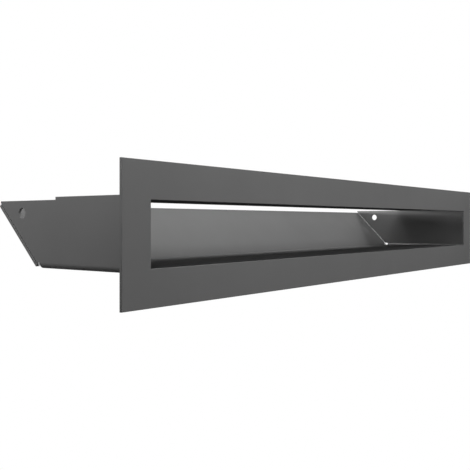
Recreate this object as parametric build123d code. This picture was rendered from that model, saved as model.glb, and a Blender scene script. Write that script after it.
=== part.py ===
from build123d import *
from math import cos, radians, sin, tan
import os

# Slot grille of sheet steel for a wall. A flat front frame holds one long slot, and a sheet duct
# stands behind it. The duct's sloped rear wall turns the air between the slot and an opening at
# the top rear. Millimetres, +X along the slot, +Y into the wall, +Z up.
# The origin is the middle of the frame's wall side.

# Sheet
sheet = 2.0             # thickness of every sheet in the grille
bend_radius = 2.0       # inside radius of every fold

# Front frame
frame_width = 600.0     # along X
frame_height = 90.0     # along Z
frame_border = 24.0     # from the frame's outer edge to the slot, all round
edge_round = 0.4        # softened front edges, under the powder coat

# Duct
duct_lap = 3.5          # how far the duct's outer face stands outside the slot's edge, all round
floor_depth = 104.1     # from the frame's wall side to the sharp outer line of the rear fold
deflector_angle = 45.0  # slope of the rear wall above level
deflector_drop = 2.25   # from the cheek's top edge down to the rear wall's inner top edge
top_depth = 84.0        # front to back of the top plate

# Corner reliefs, where the cheek's fold and the rear fold meet
corner_gap = 0.75       # between the cheek's sloped edge and the rear wall it stands on
slit_width = 1.5        # cut across the cheek's fold, in front of the rear fold
relief_radius = 1.2     # round hole that the cut ends in

# Hanging hole in each cheek
hole_radius = 3.75
hole_from_rear = 25.1   # from the cheek's rear edge forward to the hole's centre
hole_from_top = 8.8     # from the cheek's top edge down to the hole's centre

# Weld stitches that hold the duct to the frame
weld_leg = 2.5          # how far a stitch reaches along each of the two sheets
weld_length = 16.0      # straight length of a stitch, before its round ends
weld_inset = 60.0       # from the duct's end to the middle of the nearest stitch
weld_count = 5          # stitches along the top plate, and as many along the floor

# Wall cut-out
cutout_clearance = 2.5  # between a weld stitch and the edge of the wall's cut-out

# Cutters
overrun = 1.0           # how far a cutter runs past the face it cuts through

# Places that follow from the sizes above
slot_width = frame_width - 2 * frame_border
slot_height = frame_height - 2 * frame_border
duct_half_width = slot_width / 2 + duct_lap
duct_top = slot_height / 2 + duct_lap
duct_bottom = -duct_top
cheek_top = duct_top - sheet
floor_top = duct_bottom + sheet
outer_bend = bend_radius + sheet
bend_start = duct_bottom + outer_bend   # height at which the cheek leaves its fold

slope = radians(deflector_angle)
fold_inner = floor_depth - sheet * tan(slope / 2)       # sharp inner line of the rear fold
wall_top = cheek_top - deflector_drop                   # inner top edge of the rear wall
wall_top_y = fold_inner + (wall_top - floor_top) / tan(slope)
cheek_rear = wall_top_y                                 # upright rear edge of the cheek
slit_rear = floor_depth - outer_bend * tan(slope / 2)   # where the rear fold starts
slit_front = slit_rear - slit_width

cutout_half_width = duct_half_width + weld_leg + cutout_clearance
cutout_half_height = duct_top + weld_leg + cutout_clearance


def front_frame():
    """The visible plate. Its wall side is two faces: the ring that bears on the wall, outside
    the cut-out, and the ring inside it that carries the duct."""
    ring = Rectangle(frame_width, frame_height) - Rectangle(slot_width, slot_height)
    # Plane.XZ looks along -Y, so the plate grows from its wall side towards the room
    plate = extrude(Plane.XZ * ring, sheet)
    plate = fillet(plate.edges().filter_by_position(Axis.Y, -sheet, -sheet), edge_round)
    *others, wall_side = plate.faces().sort_by(Axis.Y)
    cutout = Plane.XZ * Rectangle(2 * cutout_half_width, 2 * cutout_half_height)
    bearing = wall_side - cutout
    carrier = wall_side & cutout
    return Solid(Shell([*others, *bearing.faces(), *carrier.faces()]))


def channel():
    """Floor and cheeks as one bent trough, full length, before its ends are trimmed."""
    height = cheek_top - duct_bottom
    outer = Pos(0, (cheek_top + duct_bottom) / 2) * Rectangle(2 * duct_half_width, height)
    outer = fillet(outer.vertices().group_by(Axis.Y)[0], outer_bend)
    inner_width = 2 * (duct_half_width - sheet)
    inner = Pos(0, (cheek_top + duct_bottom) / 2 + sheet) * Rectangle(inner_width, height)
    inner = fillet(inner.vertices().group_by(Axis.Y)[0], bend_radius)
    trough = Plane.XZ * (outer - inner)
    return extrude(trough, -cheek_rear)


def cheek_outline():
    """Side view of the cheeks: sloped at the rear, with a short upright edge above the slope."""
    back_off = corner_gap / sin(slope)
    foot = fold_inner + (bend_start - floor_top) / tan(slope) - back_off
    shoulder = floor_top + (cheek_rear + back_off - fold_inner) * tan(slope)
    outline = Polyline(
        (0, duct_bottom),
        (slit_front, duct_bottom),
        (slit_front, bend_start),
        (foot, bend_start),
        (cheek_rear, shoulder),
        (cheek_rear, cheek_top),
        (0, cheek_top),
        close=True,
    )
    # Plane.YZ looks along +X, so the outline is drawn as (Y, Z)
    return extrude(Plane.YZ * make_face(outline), duct_half_width, both=True)


def rear_wall():
    """The floor's rear strip, the fold and the sloped rear wall, as one bent band."""
    rise = wall_top - floor_top
    outer_end = (wall_top_y + sheet * sin(slope), wall_top - sheet * cos(slope))
    outer = FilletPolyline(
        (slit_front, duct_bottom), (floor_depth, duct_bottom), outer_end, radius=outer_bend
    )
    inner = FilletPolyline(
        (slit_front, floor_top), (fold_inner, floor_top), (fold_inner + rise / tan(slope), wall_top),
        radius=bend_radius,
    )
    band = make_face([outer, Line(outer @ 1, inner @ 1), inner, Line(inner @ 0, outer @ 0)])
    return extrude(Plane.YZ * band, duct_half_width, both=True)


def corner_relief(side):
    """The cut that parts the two folds at one corner, and the round hole that it ends in.

    The cut takes the slit in front of the rear fold and the end of the fold itself, up to the
    line where the sloped wall leaves the fold.
    """
    reach = outer_bend + overrun
    middle_x = side * (duct_half_width - outer_bend + reach / 2)
    wall_start = (slit_rear + reach * sin(slope), bend_start - reach * cos(slope))
    outline = Polyline(
        (slit_front, bend_start),
        (slit_rear, bend_start),
        wall_start,
        (wall_start[0], duct_bottom - overrun),
        (slit_front, duct_bottom - overrun),
        close=True,
    )
    cut = Pos(middle_x, 0, 0) * extrude(Plane.YZ * make_face(outline), reach / 2, both=True)
    hole_middle = Pos(middle_x, fold_inner, floor_top + relief_radius)
    hole = hole_middle * Rot(0, 90, 0) * Cylinder(relief_radius, reach)
    return cut + hole


def hanging_holes():
    """One bar through both cheeks, for the two round holes near their rear top corners."""
    middle = Pos(0, cheek_rear - hole_from_rear, cheek_top - hole_from_top)
    return middle * Rot(0, 90, 0) * Cylinder(hole_radius, 2 * (duct_half_width + overrun))


def duct_body():
    """Floor, both cheeks and the sloped rear wall, folded from one blank."""
    body = (channel() & cheek_outline()) + rear_wall()
    body -= corner_relief(1)
    body -= corner_relief(-1)
    return body - hanging_holes()


def top_plate():
    """Flat lid on the front of the cheeks. Behind it the duct is open at the top."""
    middle = Pos(0, top_depth / 2, cheek_top + sheet / 2)
    return middle * Box(2 * duct_half_width, top_depth, sheet)


def weld_stitch(location, across):
    """One bead in the corner of the frame's wall side and an outer face of the duct.

    It lies along the location's X axis, and fills the corner towards +Y and towards the
    location's Z axis when across is 1, or away from it when across is -1.
    """
    core = Rot(0, 90, 0) * Cylinder(weld_leg, weld_length)
    ends = [Pos(end * weld_length / 2, 0, 0) * Sphere(weld_leg) for end in (-1, 1)]
    reach = weld_length + 2 * weld_leg
    corner = Pos(0, weld_leg / 2, across * weld_leg / 2) * Box(reach, weld_leg, weld_leg)
    return location * ((core + ends[0] + ends[1]) & corner)


def weld_stitches():
    """Short beads along the duct's four sides, all on the hidden side of the frame."""
    beads = []
    pitch = 2 * (duct_half_width - weld_inset) / (weld_count - 1)
    for index in range(weld_count):
        along = (index - (weld_count - 1) / 2) * pitch
        beads.append(weld_stitch(Pos(along, 0, duct_top), 1))
        beads.append(weld_stitch(Pos(along, 0, duct_bottom), -1))
    for side in (-1, 1):
        # turned about Y, so that the bead stands upright beside the cheek
        beads.append(weld_stitch(Pos(side * duct_half_width, 0, 0) * Rot(0, 90, 0), side))
    return Compound(children=beads)


os.makedirs("parts", exist_ok=True)
export_step(front_frame(), "parts/front_frame.step")
export_step(duct_body(), "parts/duct_body.step")
export_step(top_plate(), "parts/top_plate.step")
export_step(weld_stitches(), "parts/weld_stitches.step")
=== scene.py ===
"""Looks of a wall grille: a powder coat on its sheets and weld beads, a studio and a camera."""

import logging
import math
from dataclasses import dataclass
from enum import Enum

import bpy
import numpy as np
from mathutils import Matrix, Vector


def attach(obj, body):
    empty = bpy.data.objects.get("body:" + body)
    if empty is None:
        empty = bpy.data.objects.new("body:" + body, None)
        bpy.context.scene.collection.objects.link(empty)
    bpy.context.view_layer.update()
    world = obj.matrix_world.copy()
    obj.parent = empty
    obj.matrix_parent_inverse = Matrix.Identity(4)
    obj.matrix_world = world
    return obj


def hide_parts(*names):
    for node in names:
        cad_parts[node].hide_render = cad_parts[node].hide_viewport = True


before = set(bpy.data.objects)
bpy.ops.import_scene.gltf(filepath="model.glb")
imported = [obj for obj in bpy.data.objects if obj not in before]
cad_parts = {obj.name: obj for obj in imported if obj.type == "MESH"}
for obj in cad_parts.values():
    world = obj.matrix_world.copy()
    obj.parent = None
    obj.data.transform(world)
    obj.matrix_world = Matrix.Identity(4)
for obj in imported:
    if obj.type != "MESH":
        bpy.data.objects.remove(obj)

log = logging.getLogger("grille")

COAT_SLOT = "graphite_powder_coat"
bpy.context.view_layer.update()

# Sizes of the solids that the looks have to meet, in metres
SHEET = 0.002
BEND_RADIUS = 0.002
DUCT_HALF_WIDTH = 0.2795
DUCT_HALF_HEIGHT = 0.0245

# Sockets of a Mix node in colour mode, whose names stand more than once in its lists
MIX_FIRST, MIX_SECOND, MIX_RESULT = 6, 7, 2

WHITE = (1.0, 1.0, 1.0, 1.0)


class Shader:
    """A short way to add nodes to a shader tree and to join them."""

    def __init__(self, tree: bpy.types.NodeTree) -> None:
        """Empty the tree.

        Args:
            tree: the node tree of a material or of the world.
        """
        self.tree = tree
        tree.nodes.clear()

    def add(self, kind: str, sockets: dict | None = None, **options) -> bpy.types.Node:
        """Add a node.

        Args:
            kind: the node's type name without its "ShaderNode" prefix.
            sockets: input name or number to a value, or to the output socket that feeds it.
            options: the node's own properties.

        Returns:
            The new node.
        """
        node = self.tree.nodes.new("ShaderNode" + kind)
        for name, value in options.items():
            setattr(node, name, value)
        for name, value in (sockets or {}).items():
            if isinstance(value, bpy.types.NodeSocket):
                self.tree.links.new(value, node.inputs[name])
            else:
                node.inputs[name].default_value = value
        return node

    def noise(
        self, place: bpy.types.NodeSocket, per_metre: float, detail: float
    ) -> bpy.types.NodeSocket:
        """Add a noise pattern that lies still on the object.

        Args:
            place: the object's own coordinates, in metres.
            per_metre: how many features there are along a metre.
            detail: octaves of finer noise.

        Returns:
            The pattern's grey value.
        """
        pattern = self.add("TexNoise", {"Vector": place, "Scale": per_metre, "Detail": detail})
        return pattern.outputs["Fac"]

    def spread(self, value: bpy.types.NodeSocket, low: float, high: float) -> bpy.types.NodeSocket:
        """Turn the middle half of a noise pattern's range into a range of one's own.

        Args:
            value: the pattern's grey value.
            low: result where the pattern is 0.25 or less.
            high: result where the pattern is 0.75 or more.

        Returns:
            The new value.
        """
        ranged = self.add(
            "MapRange",
            {"Value": value, "From Min": 0.25, "From Max": 0.75, "To Min": low, "To Max": high},
        )
        return ranged.outputs["Result"]

    def bump(
        self,
        height: bpy.types.NodeSocket,
        depth: float,
        below: bpy.types.NodeSocket | None = None,
    ) -> bpy.types.NodeSocket:
        """Let a pattern raise the surface.

        Args:
            height: the pattern's grey value.
            depth: how far the pattern's full range raises the surface, in metres.
            below: normal of the surface that this one lies on.

        Returns:
            The new normal.
        """
        sockets = {"Strength": 1.0, "Distance": depth, "Height": height}
        if below is not None:
            sockets["Normal"] = below
        return self.add("Bump", sockets).outputs["Normal"]

    def math(
        self,
        operation: str,
        first: bpy.types.NodeSocket | float,
        second: bpy.types.NodeSocket | float = 0.0,
    ) -> bpy.types.NodeSocket:
        """Work out one step of arithmetic.

        Args:
            operation: the Math node's operation.
            first: a socket or a number.
            second: a socket or a number.

        Returns:
            The result.
        """
        return self.add("Math", {0: first, 1: second}, operation=operation).outputs[0]


@dataclass(frozen=True)
class SlickPlaces:
    """The places at both ends of the duct where the powder runs together and dries slick.

    Lengths are in metres, in the object's own coordinates. On the inner face of the rear wall,
    which slopes at 45 degrees, wall_offset is what Y has more than Z. The frame's margin keeps the
    frame itself out, and the wall's margin takes up the rounding of its face.
    """

    fold_axis_x: float = DUCT_HALF_WIDTH - SHEET - BEND_RADIUS
    fold_axis_z: float = SHEET + BEND_RADIUS - DUCT_HALF_HEIGHT
    mid_sheet: float = BEND_RADIUS + SHEET / 2
    frame_margin: float = 0.0005
    past_cheek: float = DUCT_HALF_WIDTH - SHEET + 0.0001
    wall_offset: float = 0.12577
    wall_margin: float = 0.0004

    def fold(self, shader: Shader, place: bpy.types.NodeSocket) -> bpy.types.NodeSocket:
        """Find the hollow side of the fold between floor and cheek, behind the frame.

        Args:
            shader: the material's tree.
            place: the object's own coordinates.

        Returns:
            A socket that is 1 there and otherwise 0.
        """
        x, y, z = shader.add("SeparateXYZ", {"Vector": place}).outputs
        side = shader.math("ABSOLUTE", x)
        outward = shader.math("MAXIMUM", shader.math("SUBTRACT", side, self.fold_axis_x), 0.0)
        downward = shader.math("MAXIMUM", shader.math("SUBTRACT", self.fold_axis_z, z), 0.0)
        corner = shader.math("GREATER_THAN", shader.math("MULTIPLY", outward, downward), 0.0)
        squares = shader.math(
            "ADD", shader.math("POWER", outward, 2.0), shader.math("POWER", downward, 2.0)
        )
        inside = shader.math("LESS_THAN", shader.math("SQRT", squares), self.mid_sheet)
        duct = shader.math("GREATER_THAN", y, self.frame_margin)
        return shader.math("MULTIPLY", shader.math("MULTIPLY", corner, inside), duct)

    def strip(self, shader: Shader, place: bpy.types.NodeSocket) -> bpy.types.NodeSocket:
        """Find the strip of the sloped rear wall that the cheek's edge stands over.

        Args:
            shader: the material's tree.
            place: the object's own coordinates.

        Returns:
            A socket that is 1 there and otherwise 0.
        """
        x, y, z = shader.add("SeparateXYZ", {"Vector": place}).outputs
        off_wall = shader.math("SUBTRACT", shader.math("SUBTRACT", y, z), self.wall_offset)
        on_wall = shader.math("LESS_THAN", shader.math("ABSOLUTE", off_wall), self.wall_margin)
        covered = shader.math("GREATER_THAN", shader.math("ABSOLUTE", x), self.past_cheek)
        return shader.math("MULTIPLY", on_wall, covered)


@dataclass(frozen=True)
class PowderCoat:
    """A matt thermoset powder coat baked on sheet steel.

    The coat flows out in shallow waves a few millimetres long, and its surface is finely grained.
    Inside the folds and in the narrow gaps, where the powder runs together, it is slicker.
    Depths are in metres. A gloss is a specular level, and it is 0 outside the slick places.
    """

    name: str
    colour: tuple[float, float, float] = (0.12, 0.12, 0.12)
    shade: float = 0.03
    roughness: tuple[float, float] = (0.56, 0.64)
    fold_gloss: float = 1.0
    fold_smoothing: float = 0.5
    strip_gloss: float = 0.032
    wave_depth: float = 0.00001
    waves_per_metre: float = 180.0
    grain_depth: float = 0.000006
    grains_per_metre: float = 1400.0
    clouds_per_metre: float = 25.0
    wave_detail: float = 2.0
    fine_detail: float = 3.0

    def material(self) -> bpy.types.Material:
        """Build the coat's material.

        Returns:
            A material whose patterns follow the object's own coordinates.
        """
        material = bpy.data.materials.new(self.name)
        material.use_nodes = True
        shader = Shader(material.node_tree)
        place = shader.add("TexCoord").outputs["Object"]
        waves = shader.noise(place, self.waves_per_metre, self.wave_detail)
        grain = shader.noise(place, self.grains_per_metre, self.fine_detail)
        clouds = shader.noise(place, self.clouds_per_metre, self.fine_detail)
        fold = SlickPlaces().fold(shader, place)
        strip = SlickPlaces().strip(shader, place)
        gloss = shader.math(
            "ADD",
            shader.math("MULTIPLY", fold, self.fold_gloss),
            shader.math("MULTIPLY", strip, self.strip_gloss),
        )
        smoother = shader.math("SUBTRACT", 1.0, shader.math("MULTIPLY", fold, self.fold_smoothing))
        roughness = shader.math("MULTIPLY", shader.spread(grain, *self.roughness), smoother)
        wavy = shader.bump(waves, self.wave_depth)
        coat = shader.add(
            "BsdfPrincipled",
            {
                "Base Color": self.tone(shader, clouds),
                "Roughness": roughness,
                "Specular IOR Level": gloss,
                "Normal": shader.bump(grain, self.grain_depth, wavy),
            },
        )
        shader.add("OutputMaterial", {"Surface": coat.outputs["BSDF"]})
        return material

    def tone(self, shader: Shader, clouds: bpy.types.NodeSocket) -> bpy.types.NodeSocket:
        """Let the colour drift a little over the surface, as the coat's thickness does.

        Args:
            shader: the material's tree.
            clouds: a soft noise pattern.

        Returns:
            The colour.
        """
        darker = tuple(part * (1.0 - self.shade) for part in self.colour)
        lighter = tuple(part * (1.0 + self.shade) for part in self.colour)
        drift = shader.add(
            "Mix",
            {
                "Factor": shader.spread(clouds, 0.0, 1.0),
                MIX_FIRST: (*darker, 1.0),
                MIX_SECOND: (*lighter, 1.0),
            },
            data_type="RGBA",
        )
        return drift.outputs[MIX_RESULT]


class SheetSteel:
    """The folded and flat sheets, which keep their solids' shapes and get the coat."""

    def __init__(self, coat: bpy.types.Material) -> None:
        """Keep the coat.

        Args:
            coat: material for every sheet.
        """
        self.coat = coat

    def dress(self) -> None:
        """Put the coat on every solid."""
        for name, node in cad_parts.items():
            node.data.materials.clear()
            node.data.materials.append(self.coat)
            log.info("%s: %s", name, self.coat.name)


class Corner(Enum):
    """The four inside corners, where an outer face of the duct meets the frame's wall side.

    Each value is the direction along the corner and the direction away from the duct.
    """

    ABOVE = ((1.0, 0.0, 0.0), (0.0, 0.0, 1.0))
    BELOW = ((1.0, 0.0, 0.0), (0.0, 0.0, -1.0))
    LEFT = ((0.0, 0.0, 1.0), (-1.0, 0.0, 0.0))
    RIGHT = ((0.0, 0.0, 1.0), (1.0, 0.0, 0.0))


@dataclass
class WeldBeads:
    """Short fillet welds that hold the duct to the frame's wall side, coated like the sheets.

    Lengths are in metres. Edges sharper than sharp_degrees are not smoothed.
    """

    coat: bpy.types.Material
    leg: float = 0.0025
    length: float = 0.016
    inset: float = 0.060
    per_row: int = 5
    ripple_pitch: float = 0.0014
    ripple_depth: float = 0.00018
    ripple_sweep: float = 0.0011
    straight_steps: int = 72
    end_steps: int = 8
    arc_steps: int = 12
    sharp_degrees: float = 50.0

    def middles(self, corner: Corner) -> np.ndarray:
        """Spread the beads of one corner.

        Args:
            corner: which of the duct's four sides.

        Returns:
            The beads' middles on the corner line, one in each row.
        """
        away = np.array(corner.value[1])
        line = away * np.array([DUCT_HALF_WIDTH, 0.0, DUCT_HALF_HEIGHT])
        if corner in (Corner.LEFT, Corner.RIGHT):
            return line[None, :]
        reach = DUCT_HALF_WIDTH - self.inset
        along = np.linspace(-reach, reach, self.per_row)
        return line[None, :] + along[:, None] * np.array(corner.value[0])[None, :]

    def stations(self) -> tuple[np.ndarray, np.ndarray]:
        """Walk along one bead.

        Returns:
            Distance from the bead's middle, and the bead's radius there. The radius is the leg on
            the straight part. Past it the radius follows a quarter circle down to nothing, so the
            two ends are round.
        """
        turn = np.linspace(0.0, np.pi / 2, self.end_steps + 1)[1:-1]
        straight = np.linspace(-self.length / 2, self.length / 2, self.straight_steps)
        past = self.length / 2 + self.leg * np.sin(turn)
        shrunk = self.leg * np.cos(turn)
        distance = np.concatenate([-past[::-1], straight, past])
        radius = np.concatenate([shrunk[::-1], np.full(self.straight_steps, self.leg), shrunk])
        return distance, radius

    def surface(self) -> tuple[np.ndarray, np.ndarray]:
        """Shape one bead in a corner whose line is X and whose sheets lie along Y and Z.

        Each section is a quarter disc. Its radius is the station's radius less a ripple: a squared
        sine of the distance along the bead, swept back in a crescent towards the two sheets.

        Returns:
            Points as (stations, section, 3), and the bead's two end points.
        """
        distance, radius = self.stations()
        angle = np.linspace(0.0, np.pi / 2, self.arc_steps)
        sweep = self.ripple_sweep * np.cos(2.0 * angle) ** 2
        phase = np.pi * (distance[:, None] + sweep[None, :]) / self.ripple_pitch
        share = (radius / self.leg)[:, None]
        arc = radius[:, None] - self.ripple_depth * share * np.sin(phase) ** 2
        points = np.zeros((len(distance), self.arc_steps + 1, 3))
        points[:, :, 0] = distance[:, None]
        points[:, 1:, 1] = arc * np.cos(angle)[None, :]
        points[:, 1:, 2] = arc * np.sin(angle)[None, :]
        tip = self.length / 2 + self.leg
        return points, np.array([[-tip, 0.0, 0.0], [tip, 0.0, 0.0]])

    def faces(self, rows: int, around: int) -> list[tuple[int, ...]]:
        """Join the points of one bead.

        Args:
            rows: number of stations.
            around: number of points in a section.

        Returns:
            Four-sided faces between stations, and fans of three-sided ones at the two end points.
        """
        row, column = np.meshgrid(np.arange(rows - 1), np.arange(around), indexing="ij")
        following = (column + 1) % around
        quads = np.stack(
            [
                row * around + column,
                row * around + following,
                (row + 1) * around + following,
                (row + 1) * around + column,
            ],
            axis=-1,
        ).reshape(-1, 4)
        step = np.arange(around)
        last = (rows - 1) * around
        first_tip, last_tip = rows * around, rows * around + 1
        start = np.stack([np.full(around, first_tip), (step + 1) % around, step], axis=-1)
        end = np.stack(
            [np.full(around, last_tip), last + step, last + (step + 1) % around], axis=-1
        )
        return [tuple(face) for part in (quads, start, end) for face in part.tolist()]

    def build(self) -> None:
        """Lay all the beads in one object, which stands for the plain stitches."""
        points, tips = self.surface()
        rows, around = points.shape[:2]
        shape = np.concatenate([points.reshape(-1, 3), tips])
        outward = self.faces(rows, around)
        inward = [face[::-1] for face in outward]
        into_wall = np.array([0.0, 1.0, 0.0])
        vertices, faces = [], []
        for corner in Corner:
            along, away = (np.array(axis) for axis in corner.value)
            axes = np.stack([along, into_wall, away])
            kept = outward if np.linalg.det(axes) > 0 else inward
            for middle in self.middles(corner):
                offset = sum(len(part) for part in vertices)
                vertices.append(middle[None, :] + shape @ axes)
                faces += [tuple(index + offset for index in face) for face in kept]
            log.info("weld beads: %s, %d", corner.name.lower(), len(self.middles(corner)))
        mesh = bpy.data.meshes.new("weld_beads")
        mesh.from_pydata(np.concatenate(vertices).tolist(), [], faces)
        mesh.polygons.foreach_set("use_smooth", np.ones(len(mesh.polygons), dtype=bool))
        mesh.set_sharp_from_angle(angle=math.radians(self.sharp_degrees))
        mesh.materials.append(self.coat)
        beads = bpy.data.objects.new("weld_beads", mesh)
        bpy.context.scene.collection.objects.link(beads)
        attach(beads, "root")
        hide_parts("weld_stitches")


@dataclass(frozen=True)
class SoftBox:
    """A soft box that points at the grille: round, or a strip light where a strip height is given.

    Its place is given as it is paced out from its target: the side it stands on, in degrees, with
    0 at the right and -90 in front, its height above level in degrees and its distance in metres.
    The power is in watts.
    """

    name: str
    side: float
    height: float
    distance: float
    size: float
    power: float
    target: tuple[float, float, float] = (0.0, 0.05, 0.0)
    strip: float = 0.0

    def hang(self) -> None:
        """Hang the lamp at its place and turn it to its target."""
        side, height = math.radians(self.side), math.radians(self.height)
        away = Vector(
            (math.cos(height) * math.cos(side), math.cos(height) * math.sin(side), math.sin(height))
        )
        data = bpy.data.lights.new(self.name, "AREA")
        data.shape = "RECTANGLE" if self.strip else "DISK"
        data.size = self.size
        data.size_y = self.strip or self.size
        data.energy = self.power
        lamp = bpy.data.objects.new(self.name, data)
        lamp.location = Vector(self.target) + self.distance * away
        lamp.rotation_euler = (-away).to_track_quat("-Z", "Y").to_euler()
        lamp.visible_camera = False
        bpy.context.scene.collection.objects.link(lamp)
        log.info("soft box: %s", self.name)


@dataclass(frozen=True)
class PhotoCamera:
    """The camera as it stood for the photograph: level, in front of the grille's left end.

    Its place is in metres, its yaw in degrees to the right and its lens in millimetres. The shifts
    are shares of the picture's width.
    """

    place: tuple[float, float, float] = (-0.58048, -0.29859, 0.00746)
    yaw: float = 53.387
    lens: float = 53.29
    shift: tuple[float, float] = (-0.0200, -0.0276)
    nearest: float = 0.01
    farthest: float = 50.0

    def stand(self) -> None:
        """Set the camera up as the scene's camera."""
        data = bpy.data.cameras.new("photo_camera")
        data.lens = self.lens
        data.shift_x, data.shift_y = self.shift
        data.clip_start = self.nearest
        data.clip_end = self.farthest
        camera = bpy.data.objects.new("photo_camera", data)
        camera.location = self.place
        camera.rotation_euler = (math.radians(90.0), 0.0, math.radians(-self.yaw))
        bpy.context.scene.collection.objects.link(camera)
        bpy.context.scene.camera = camera


@dataclass(frozen=True)
class Studio:
    """White ground and an even light from all round, to which the soft boxes add.

    The floor's drop below the grille and its reach to each side are in metres.
    """

    floor_drop: float = 2.5
    floor_reach: float = 20.0
    floor_colour: tuple[float, float, float, float] = (0.8, 0.8, 0.8, 1.0)
    ambient: float = 0.08

    def floor(self) -> None:
        """Lay the pale floor under the grille."""
        reach = self.floor_reach
        corners = [(-reach, -reach), (reach, -reach), (reach, reach), (-reach, reach)]
        mesh = bpy.data.meshes.new("floor")
        mesh.from_pydata([(x, y, -self.floor_drop) for x, y in corners], [], [(0, 1, 2, 3)])
        material = bpy.data.materials.new("floor")
        material.use_nodes = True
        shader = Shader(material.node_tree)
        pale = shader.add("BsdfDiffuse", {"Color": self.floor_colour})
        white = shader.add("Emission", {"Color": WHITE, "Strength": 1.0})
        seen = self.seen_directly(shader)
        mixed = shader.add("MixShader", {0: seen, 1: pale.outputs[0], 2: white.outputs[0]})
        shader.add("OutputMaterial", {"Surface": mixed.outputs[0]})
        mesh.materials.append(material)
        floor = bpy.data.objects.new("floor", mesh)
        bpy.context.scene.collection.objects.link(floor)

    def seen_directly(self, shader: Shader) -> bpy.types.NodeSocket:
        """Tell rays that show the ground from rays that light the grille.

        Args:
            shader: the tree that needs the answer.

        Returns:
            A socket that is 1 for camera, glossy and transmission rays, and otherwise 0.
        """
        path = shader.add("LightPath").outputs
        seen = shader.math("MAXIMUM", path["Is Camera Ray"], path["Is Glossy Ray"])
        return shader.math("MAXIMUM", seen, path["Is Transmission Ray"])

    def world(self) -> None:
        """Surround the grille with white that lights it only softly."""
        world = bpy.data.worlds.new("studio")
        bpy.context.scene.world = world
        world.use_nodes = True
        shader = Shader(world.node_tree)
        ambient = shader.add("Background", {"Color": WHITE, "Strength": self.ambient})
        white = shader.add("Background", {"Color": WHITE, "Strength": 1.0})
        seen = self.seen_directly(shader)
        mixed = shader.add("MixShader", {0: seen, 1: ambient.outputs[0], 2: white.outputs[0]})
        shader.add("OutputWorld", {"Surface": mixed.outputs[0]})


SOFT_BOXES = (
    SoftBox("right", 0.0, 35.0, 1.8, 0.3, 16.1),
    SoftBox("right_low", 0.0, 20.0, 1.0, 0.3, 4.8),
    SoftBox("front", -90.0, 0.0, 1.5, 0.3, 10.75),
    SoftBox("front_strip", -90.0, 30.0, 0.2, 0.6, 0.22, (0.0, 0.0, 0.0), 0.08),
    SoftBox("front_right_end", -90.0, 40.0, 0.25, 0.15, 0.11, (0.25, 0.05, 0.0)),
    SoftBox("left", -170.0, 30.0, 0.45, 0.25, 0.68),
    SoftBox("upper_left", -150.0, 60.0, 0.35, 0.2, 0.70),
    SoftBox("rear_left", 160.0, 20.0, 0.8, 0.3, 0.33, (0.25, 0.0, 0.0)),
    SoftBox("rear_left_low", 150.0, 5.0, 0.8, 0.3, 0.75, (0.25, 0.0, 0.0)),
    SoftBox("above_opening", 170.0, 45.0, 0.4, 0.1, 0.29, (0.25, 0.10, 0.0)),
    SoftBox("rear_strip", 130.0, 1.0, 0.9, 0.3, 5.5, (0.27, 0.03, 0.015), 0.04),
    SoftBox("rear_strip_near", 115.0, 3.0, 0.5, 0.3, 2.2, (0.27, 0.03, 0.015), 0.04),
    SoftBox("below", 30.0, -50.0, 1.5, 0.6, 8.0),
)


def main() -> None:
    """Dress the grille, lay its weld beads, light it and set the camera."""
    coat = PowderCoat(COAT_SLOT).material()
    SheetSteel(coat).dress()
    WeldBeads(coat).build()
    studio = Studio()
    studio.floor()
    studio.world()
    for box in SOFT_BOXES:
        box.hang()
    PhotoCamera().stand()
    bpy.context.scene.view_settings.view_transform = "Standard"


if __name__ == "__main__":
    logging.basicConfig(level=logging.INFO)
    main()
